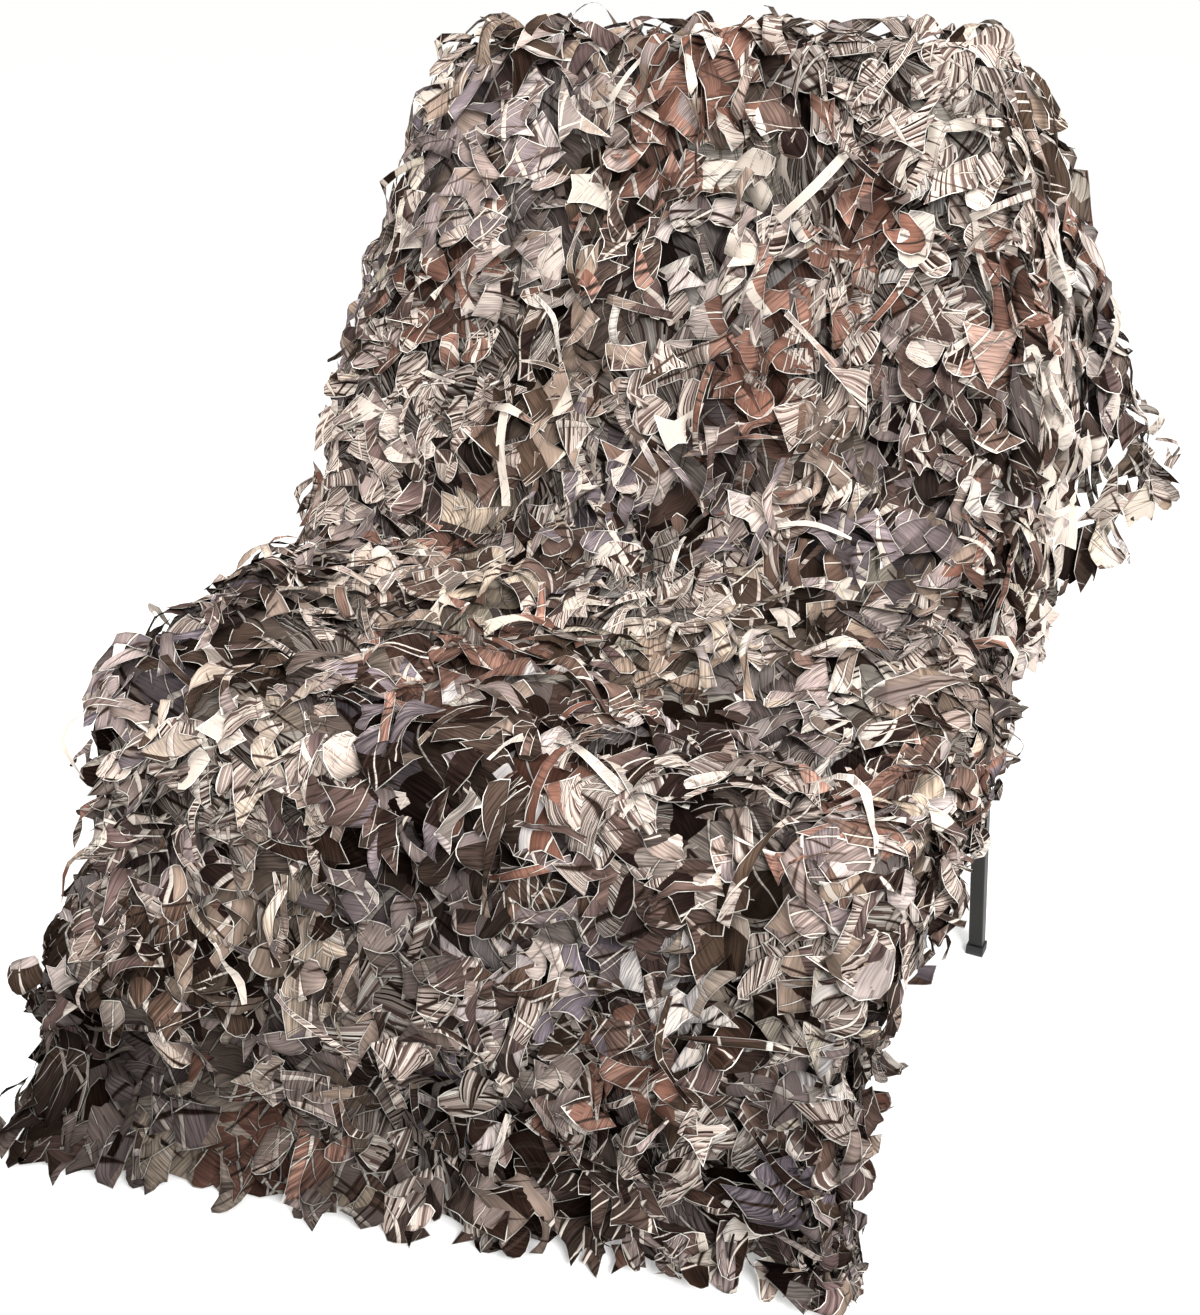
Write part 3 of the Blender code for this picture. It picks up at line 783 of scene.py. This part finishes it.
def hollow_pieces(number, corners):
    """What is left between round cuts: pointed corners with hollow sides between them."""
    per_side = RIM // corners
    step = 2 * math.pi / corners
    at = np.arange(corners) * step
    at = at + draw.uniform(-PIECE["uneven"], PIECE["uneven"], (number, corners)) * step
    after = np.concatenate([at[:, 1:], at[:, :1] + 2 * math.pi], axis=1)
    reach = draw.uniform(*PIECE["reach"], (number, corners))
    reach_after = np.roll(reach, -1, axis=1)
    hollow = draw.uniform(*PIECE["hollow"], (number, corners))
    outline = []
    for k in range(per_side):
        share = k / per_side
        turn = at + (after - at) * share
        chord = reach * reach_after * np.sin(after - at) / (
            reach * np.sin(turn - at) + reach_after * np.sin(after - turn))
        chord *= 1 - hollow * math.sin(math.pi * share)
        outline.append(np.stack([chord * np.cos(turn), chord * np.sin(turn)], axis=-1))
    outline = np.stack(outline, axis=2).reshape(number, corners * per_side, 2)
    points, depth = filled(outline)
    points[..., 0] += reach.mean(axis=1, keepdims=True) * PIECE["held_at"]
    return points, depth


def straps(number, length, width, waist, bow):
    """Bridges, straps and ribbons: as wide as given at the ends, and narrower at the waist."""
    long = draw.uniform(*length, (number, 1, 1))
    wide = draw.uniform(*width, (number, 1, 1))
    along = np.linspace(0, 1, STRAP_ROWS)[None, :, None]
    aside = np.linspace(-0.5, 0.5, STRAP_COLUMNS)[None, None, :]
    middle = np.sin(math.pi * along)
    narrowed = 1 - draw.uniform(*waist, (number, 1, 1)) * middle
    bowed = draw.uniform(-bow, bow, (number, 1, 1)) * long * middle
    y = wide * narrowed * aside + bowed
    x = np.broadcast_to(long * along, y.shape)
    to_side = (0.5 - np.abs(aside)) * wide * narrowed
    to_end = np.minimum(along, 1 - along) * long + STRIP_END
    depth = np.minimum(to_side, to_end) + STRIP_LIP
    points = np.stack([x, y], axis=-1).reshape(number, -1, 2)
    return points, depth.reshape(number, -1)


def leaf_shapes(kind, number):
    """Flat leaves of one kind, how far their points are from a cut, and their triangles."""
    if kind == "tongue":
        return *tongues(number), ring_faces(RIM)
    if kind in CORNERS:
        corners = CORNERS[kind]
        return *hollow_pieces(number, corners), ring_faces(RIM // corners * corners)
    return *straps(number, **STRIPS[kind]), strip_faces()


def curled(points):
    """Leaves bent about a line of their own, folded once and cupped: [leaf, point, xyz]."""
    number = len(points)
    turn = draw.uniform(-CURL["turn"], CURL["turn"], (number, 1))
    bend = draw.uniform(-1, 1, (number, 1))
    bend = np.sign(bend) * (CURL["least"] + CURL["more"] * np.abs(bend))
    fold = draw.uniform(-CURL["crease"], CURL["crease"], (number, 1))
    s, t = rotated(points[..., 0], points[..., 1], -turn)
    middle = (s.max(axis=1, keepdims=True) + s.min(axis=1, keepdims=True)) / 2
    at = middle + draw.uniform(-CURL["off_middle"], CURL["off_middle"], (number, 1))
    after = s > at
    flat_s = np.where(after, (np.sin(bend * s + fold) - np.sin(bend * at + fold)) / bend
                      + np.sin(bend * at) / bend, np.sin(bend * s) / bend)
    rise = np.where(after, (np.cos(bend * at + fold) - np.cos(bend * s + fold)) / bend
                    + (1 - np.cos(bend * at)) / bend, (1 - np.cos(bend * s)) / bend)
    rise = rise + draw.uniform(-CURL["cup"], CURL["cup"], (number, 1)) * t ** 2
    return np.stack([*rotated(flat_s, t, turn), rise], axis=-1)


# A leaf keeps its own size where the net is gathered, within these limits. Where the net is
# level its tip droops, and past LIFT_LIMIT the leaf above it holds most of its rise down.
LEAST_GIVE, MOST_GIVE = 0.40, 1.25
DROOP = 4.0
LIFT_LIMIT = 0.010
LIFT_GIVE = 0.30


def give_at(across, along):
    """How wide the net hangs at flat positions, so that a leaf there keeps its size."""
    return np.clip(on_drape(drape_give, across, along), LEAST_GIVE, MOST_GIVE)


def spread_out(x, y, across, along, heading):
    """Where leaf points lie on the flat net, and how wide the net hangs there."""
    give = give_at(across, along)
    x, y = rotated(x, y, heading[:, None])
    return across[:, None] + x / give[:, :1], along[:, None] - y / give[:, 1:], give


def hung(local, across, along, heading, pitch, roll, height):
    """Leaves rolled, tilted and turned at their flat places, and laid on the net's folds."""
    y, z = rotated(local[..., 1], local[..., 2], roll[:, None])
    x, z = rotated(local[..., 0], z, pitch[:, None])
    to_across, to_along, give = spread_out(x, y, across, along, heading)
    held_across, held_along = np.clip(to_across, 0, NET_SIDE), np.clip(to_along, 0, NET_SIDE)
    out, side = frame_at(held_across, held_along)
    rise = height[:, None] + z - DROOP * (x ** 2 + y ** 2) * np.maximum(out[..., 2], 0)
    rise = rise - np.maximum(rise - LIFT_LIMIT, 0) * (1 - LIFT_GIVE)
    points = on_drape(drape, held_across, held_along) + out * rise[..., None]
    points += side * ((to_across - held_across) * give[:, :1])[..., None]
    return points - np.cross(out, side) * ((to_along - held_along) * give[:, 1:])[..., None]


def laid(flat2d, across, along, heading, height, arch, twist):
    """Straps that run along the net: they arch off it, twist, and end in it."""
    share = np.linspace(0, 1, STRAP_ROWS).repeat(STRAP_COLUMNS)[None]
    lean = twist[:, None] * np.sin(2 * math.pi * share)
    x, y = flat2d[..., 0], flat2d[..., 1] * np.cos(lean)
    rise = height[:, None] + arch[:, None] * np.sin(math.pi * share)
    rise = rise + flat2d[..., 1] * np.sin(lean)
    to_across, to_along, _ = spread_out(x, y, across, along, heading)
    to_across, to_along = np.clip(to_across, 0, NET_SIDE), np.clip(to_along, 0, NET_SIDE)
    out = unit(on_drape(drape_out, to_across, to_along))
    return on_drape(drape, to_across, to_along) + out * rise[..., None]


# Leaf places: a jittered grid over the whole net, thinned where light shows through it and
# where it is gathered. Long ribbons, each cut in one sweep of the knife, lie over them.
LEAF_SPACING = 0.0235
RIM_INSET = 0.026
HEM_INSET = 0.022
THINNED = 0.8
CROWDED = 2.0
FEWEST = 0.40
KINDS = ("tongue", "four", "three", "five", "bridge", "strap", "ribbon")
SHARES = (0.34, 0.27, 0.09, 0.06, 0.15, 0.09, 0.0)
RIBBONS = 80
RIBBON_INSET = 0.1

side_count = round(NET_SIDE / LEAF_SPACING)
grid = (np.arange(side_count) + 0.5) * LEAF_SPACING
leaf_along, leaf_across = np.meshgrid(grid, grid, indexing="ij")
jitter = draw.uniform(-0.5, 0.5, (2, side_count, side_count)) * LEAF_SPACING
leaf_across, leaf_along = (leaf_across + jitter[0]).ravel(), (leaf_along + jitter[1]).ravel()
leaf_across = np.clip(leaf_across, RIM_INSET, NET_SIDE - RIM_INSET)
leaf_along = np.clip(leaf_along, RIM_INSET, NET_SIDE - HEM_INSET)

crowd = on_drape(drape_give, leaf_across, leaf_along).prod(axis=-1)
thinned = np.maximum(THINNED * thin_cloth(leaf_across, leaf_along),
                     1 - np.clip(CROWDED * crowd, FEWEST, 1))
stays = draw.uniform(0, 1, len(leaf_across)) > thinned
leaf_across, leaf_along = leaf_across[stays], leaf_along[stays]
kinds = draw.choice(len(KINDS), len(leaf_across), p=SHARES)

over = draw.uniform(RIBBON_INSET, NET_SIDE - RIBBON_INSET, (2, RIBBONS))
leaf_across, leaf_along = np.append(leaf_across, over[0]), np.append(leaf_along, over[1])
kinds = np.append(kinds, np.full(RIBBONS, KINDS.index("ribbon")))

# How light the leaves are, from 0 to 1: each kind's usual tone and their spread, with painted
# light and shade on top: paler or darker leaves in some flat places of the net, where light
# falls or shade lies, with print detail in a few, painted shade on its front, and painted
# shade on the leaves that lie deep down.
USUAL_TONE = {"strap": 0.52, "ribbon": 0.74}
OTHER_TONE = 0.38
TONE_SPREAD = 0.16
FRONT_PAINTED_SHADE = 0.08
FRONT_FROM = 1.08
DEPTH_PAINTED_SHADE = 10.0
# Painted light and shade, with print detail in a few places: the darkest is painted shadow
# under the swag at the lower left, the next a painted shadow at the foot of the back, and the
# palest, on the wing at the right, painted light with pale print.
PAINTED_LIGHT_AND_PRINT_PLACES = (
    # across, along, reach across, reach along, by
    (0.42, 1.47, 0.34, 0.09, -0.75),
    (1.10, 1.42, 0.30, 0.10, 0.12),
    (0.75, 0.30, 0.30, 0.12, 0.12),
    (0.60, 0.62, 0.20, 0.07, 0.26),
    (0.66, 0.695, 0.10, 0.022, -0.40),
    (0.42, 0.77, 0.10, 0.06, 0.12),
    (0.42, 1.00, 0.10, 0.12, -0.10),
    (0.95, 1.22, 0.30, 0.10, -0.04),
    (0.75, 0.80, 0.25, 0.05, 0.10),
    (1.34, 0.42, 0.17, 0.15, 0.55),
    (0.62, 0.89, 0.20, 0.025, -0.14),
    (0.70, 1.05, 0.20, 0.10, 0.08),
    (1.00, 1.15, 0.25, 0.12, -0.04),
    (0.62, 1.12, 0.25, 0.05, 0.10),
)


def tones(kind, across, along, height):
    """How light each leaf is, between 0 and 1, with painted light and shade added to its tone.
    """
    paler = np.zeros(len(across))
    # Painted light and shade: each place makes the leaves in it paler or darker.
    for *place, by in PAINTED_LIGHT_AND_PRINT_PLACES:
        paler += by * np.exp(-away_from(place, across, along))
    usual = USUAL_TONE.get(kind, OTHER_TONE)
    tone = draw.normal(usual, TONE_SPREAD, len(across)) + paler
    # Painted shade: leaves on the front drop of the net are darker.
    tone -= FRONT_PAINTED_SHADE * (along > FRONT_FROM)
    # Painted shade: leaves that lie deeper than the mean are darker, and higher ones paler.
    return np.clip(tone + DEPTH_PAINTED_SHADE * (height - height.mean()), 0, 1)


# How the leaves lie: past the rim of the net they are cut short and point out, and on a
# steep place they hang down it. Angles in radians, heights off the folds in metres.
RIM_WIDTH = 0.032
PAST_RIM = 0.009
SHORTEST = 0.5
SWING = 0.75
RIM_SWING = 0.8
HANGS = dict(by=1.15, less=0.35)
PITCH = dict(usual=0.18, spread=0.18, least=-0.10, most=0.60)
ROLL_SPREAD = 0.24
TOP_EDGE = 0.225
TOP_EDGE_REACH = 0.05
TOP_FLATTER = 0.6
DEEP_HEIGHTS = (-0.022, -0.004)
SEAT_HEIGHTS = (-0.004, 0.008)
STRIP_HEIGHT = 0.006
ARCH = (0.002, 0.018)
TWIST = 1.3
PRINT_SWING = 0.45
PRINT_WANDER = 0.03
ATLAS_MARGIN = 0.06


def headings(across, along):
    """The way each leaf points: loose, or down the net, or out past its rim."""
    number = len(across)
    out, side = frame_at(across, along)
    down = np.arctan2(-np.cross(out, side)[:, 2], -side[:, 2])
    steep = np.sqrt(np.clip(1 - out[:, 2] ** 2, 0, 1))
    loose = draw.uniform(-math.pi, math.pi, number)
    swing = draw.normal(0, SWING, number)
    hangs = draw.uniform(0, 1, number) < np.clip(steep * HANGS["by"] - HANGS["less"], 0, 1)
    heading = np.where(hangs, down + swing, loose)
    at_rim = [across < RIM_WIDTH, across > NET_SIDE - RIM_WIDTH,
              along < RIM_WIDTH, along > NET_SIDE - RIM_WIDTH]
    rim_way = np.select(at_rim, [math.pi, 0.0, math.pi / 2, -math.pi / 2], np.nan)
    return np.where(np.isnan(rim_way), heading, rim_way + RIM_SWING * swing)


def leaf_group(kind, across, along):
    """Leaves of one kind at flat places, as joined() takes them.

    Every kind draws the same numbers, though straps have no use for curl, pitch and roll.
    """
    number = len(across)
    flat2d, depth, faces = leaf_shapes(kind, number)
    give = give_at(across, along)
    to_rim = np.minimum(np.minimum(across, NET_SIDE - across) * give[:, 0],
                        np.minimum(along, NET_SIDE - along) * give[:, 1])
    reach = np.linalg.norm(flat2d, axis=2).max(axis=1)
    shorter = np.clip((to_rim + PAST_RIM) / reach, SHORTEST, 1.0)
    flat2d, depth = flat2d * shorter[:, None, None], depth * shorter[:, None]
    local = curled(flat2d)
    heading = headings(across, along)
    near_top = np.exp(-((along - TOP_EDGE) / TOP_EDGE_REACH) ** 2)
    pitch = np.clip(draw.normal(PITCH["usual"], PITCH["spread"], number),
                    PITCH["least"], PITCH["most"])
    pitch *= 1 - TOP_FLATTER * near_top
    roll = draw.normal(0, ROLL_SPREAD, number)
    room = room_below(across, along)
    height = draw.uniform(*DEEP_HEIGHTS, number) * room
    height += draw.uniform(*SEAT_HEIGHTS, number) * (1 - room)
    if kind in STRIPS:
        half = flat2d[..., 0].max(axis=1) / 2
        start_across = across - half * np.cos(heading) / give[:, 0]
        start_along = along + half * np.sin(heading) / give[:, 1]
        arch = draw.uniform(*ARCH, number)
        twist = draw.uniform(-TWIST, TWIST, number)
        points = laid(flat2d, start_across, start_along, heading, height + STRIP_HEIGHT,
                      arch, twist)
    else:
        points = hung(local, across, along, heading, pitch, roll, height)
    print_turn = heading + draw.normal(0, PRINT_SWING, number)
    x, y = rotated(flat2d[..., 0], flat2d[..., 1], print_turn[:, None])
    flat = np.stack([x + across[:, None], y + along[:, None]], axis=-1)
    flat += draw.uniform(-PRINT_WANDER, PRINT_WANDER, (number, 1, 2))
    tone = np.broadcast_to(tones(kind, across, along, height)[:, None], depth.shape)
    return resting(points), faces, flat, depth, tone, flat2d


def joined(groups):
    """Groups of leaves as one: what cloth_object takes, a cell of the atlas for each leaf."""
    cells = math.ceil(math.sqrt(sum(len(group[0]) for group in groups)))
    columns = [[] for _ in groups[0]]
    leaves = start = 0
    for points, faces, flat, depth, tone, flat2d in groups:
        number, size = points.shape[:2]
        low = flat2d.min(axis=1, keepdims=True)
        reach = (flat2d.max(axis=1, keepdims=True) - low).max(axis=2, keepdims=True)
        cell = np.arange(leaves, leaves + number)
        corner = np.column_stack([cell % cells, cell // cells])[:, None]
        within = ATLAS_MARGIN + (1 - 2 * ATLAS_MARGIN) * (flat2d - low) / reach
        first = start + size * np.arange(number)
        group = (points.reshape(-1, 3), (faces + first[:, None, None]).reshape(-1, 3),
                 flat.reshape(-1, 2), depth.ravel(), tone.ravel(),
                 ((corner + within) / cells).reshape(-1, 2))
        for column, values in zip(columns, group):
            column.append(values)
        leaves += number
        start += number * size
    return [np.concatenate(column) for column in columns]


# The leaves are joined in five pieces, each the flat places short of its two limits that no
# piece before it has taken.
ZONES = (
    # name, across, along
    ("leaves_rear_and_top", NET_SIDE, 0.30),
    ("leaves_left_drop", 0.46, NET_SIDE),
    ("leaves_back", NET_SIDE, 0.72),
    ("leaves_seat", NET_SIDE, 1.06),
    ("leaves_front_drop", NET_SIDE, NET_SIDE),
)
taken = np.zeros(len(leaf_across), bool)
for zone_name, most_across, most_along in ZONES:
    here = ~taken & (leaf_across < most_across) & (leaf_along < most_along)
    taken |= here
    groups = []
    for number, kind in enumerate(KINDS):
        mine = here & (kinds == number)
        groups.append(leaf_group(kind, leaf_across[mine], leaf_along[mine]))
    piece = cloth_object(zone_name, *joined(groups))
    piece.data.materials.append(printed)
    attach(piece, "root")

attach(net_ground, "root")
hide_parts("net")

# -----------------------------------------------------------------------------------------
# Studio: a plain pale floor under soft boxes, and the camera in front, to the right of the
# chair and above it.

FLOOR_PALE = "f4f4f3"
FLOOR_REACH = 40.0
FLOOR_ROUGHNESS = 0.9
FLOOR_GLOW = 0.18
SKY_PALE = "ffffff"
SKY_STRENGTH = (0.62, 1.08)

floor_mesh = bpy.data.meshes.new("floor")
floor_mesh.from_pydata([(-FLOOR_REACH, -FLOOR_REACH, 0), (FLOOR_REACH, -FLOOR_REACH, 0),
                        (FLOOR_REACH, FLOOR_REACH, 0), (-FLOOR_REACH, FLOOR_REACH, 0)],
                       [], [(0, 1, 2, 3)])
floor = placed("floor", floor_mesh)
painted, tree, shader = new_finish("matt_painted_floor")
feed(shader, {"Base Color": FLOOR_PALE, "Roughness": FLOOR_ROUGHNESS,
              "Emission Color": FLOOR_PALE, "Emission Strength": FLOOR_GLOW})
painted.cycles.emission_sampling = "NONE"
floor_mesh.materials.append(painted)
floor.visible_diffuse = False

world = bpy.data.worlds.new("studio")
bpy.context.scene.world = world
world.use_nodes = True
tree = world.node_tree
sky = add(tree, "TexCoord").outputs["Generated"]
sky_height = add(tree, "SeparateXYZ", {0: sky}).outputs["Z"]
feed(tree.nodes["Background"], {"Color": SKY_PALE,
                                "Strength": mapped(tree, sky_height, to=SKY_STRENGTH)})

SOFT_BOXES = (
    # name, position, aim, size, watts
    ("overhead_box", (0.5, -0.3, 2.9), (0.0, 0.0, 0.5), 1.2, 25),
    ("front_box", (1.9, -1.9, 2.2), (0.0, 0.2, 0.7), 1.0, 128),
    ("left_box", (-2.0, -1.8, 2.2), (0.0, 0.2, 0.7), 1.2, 43),
)
for name, position, aim, size, watts in SOFT_BOXES:
    lamp = bpy.data.lights.new(name, "AREA")
    lamp.energy = watts
    lamp.size = size
    lamp_object = placed(name, lamp)
    lamp_object.location = position
    way = Vector(aim) - Vector(position)
    lamp_object.rotation_euler = way.to_track_quat("-Z", "Y").to_euler()

CAMERA = dict(azimuth=26.82, elevation=24.76, place=(0.612, -0.994, 1.087), focal_px=1608.6)
FRAME_LONG_SIDE_PX = 1315
SENSOR_MM = 36.0
SEES_TO = 200

turn, rise = math.radians(CAMERA["azimuth"]), math.radians(CAMERA["elevation"])
ahead = Vector((-math.sin(turn) * math.cos(rise), math.cos(turn) * math.cos(rise),
                -math.sin(rise)))
right = Vector((math.cos(turn), math.sin(turn), 0))
above = right.cross(ahead)
camera = bpy.data.cameras.new("camera")
camera.sensor_width = SENSOR_MM
camera.lens = SENSOR_MM * CAMERA["focal_px"] / FRAME_LONG_SIDE_PX
camera.clip_end = SEES_TO
camera_object = placed("camera", camera)
axes = Matrix((right, above, -ahead)).transposed().to_4x4()
camera_object.matrix_world = Matrix.Translation(
    Vector(CAMERA["place"]) + Vector(chair_shift)) @ axes
bpy.context.scene.camera = camera_object
bpy.context.scene.view_settings.view_transform = "Standard"
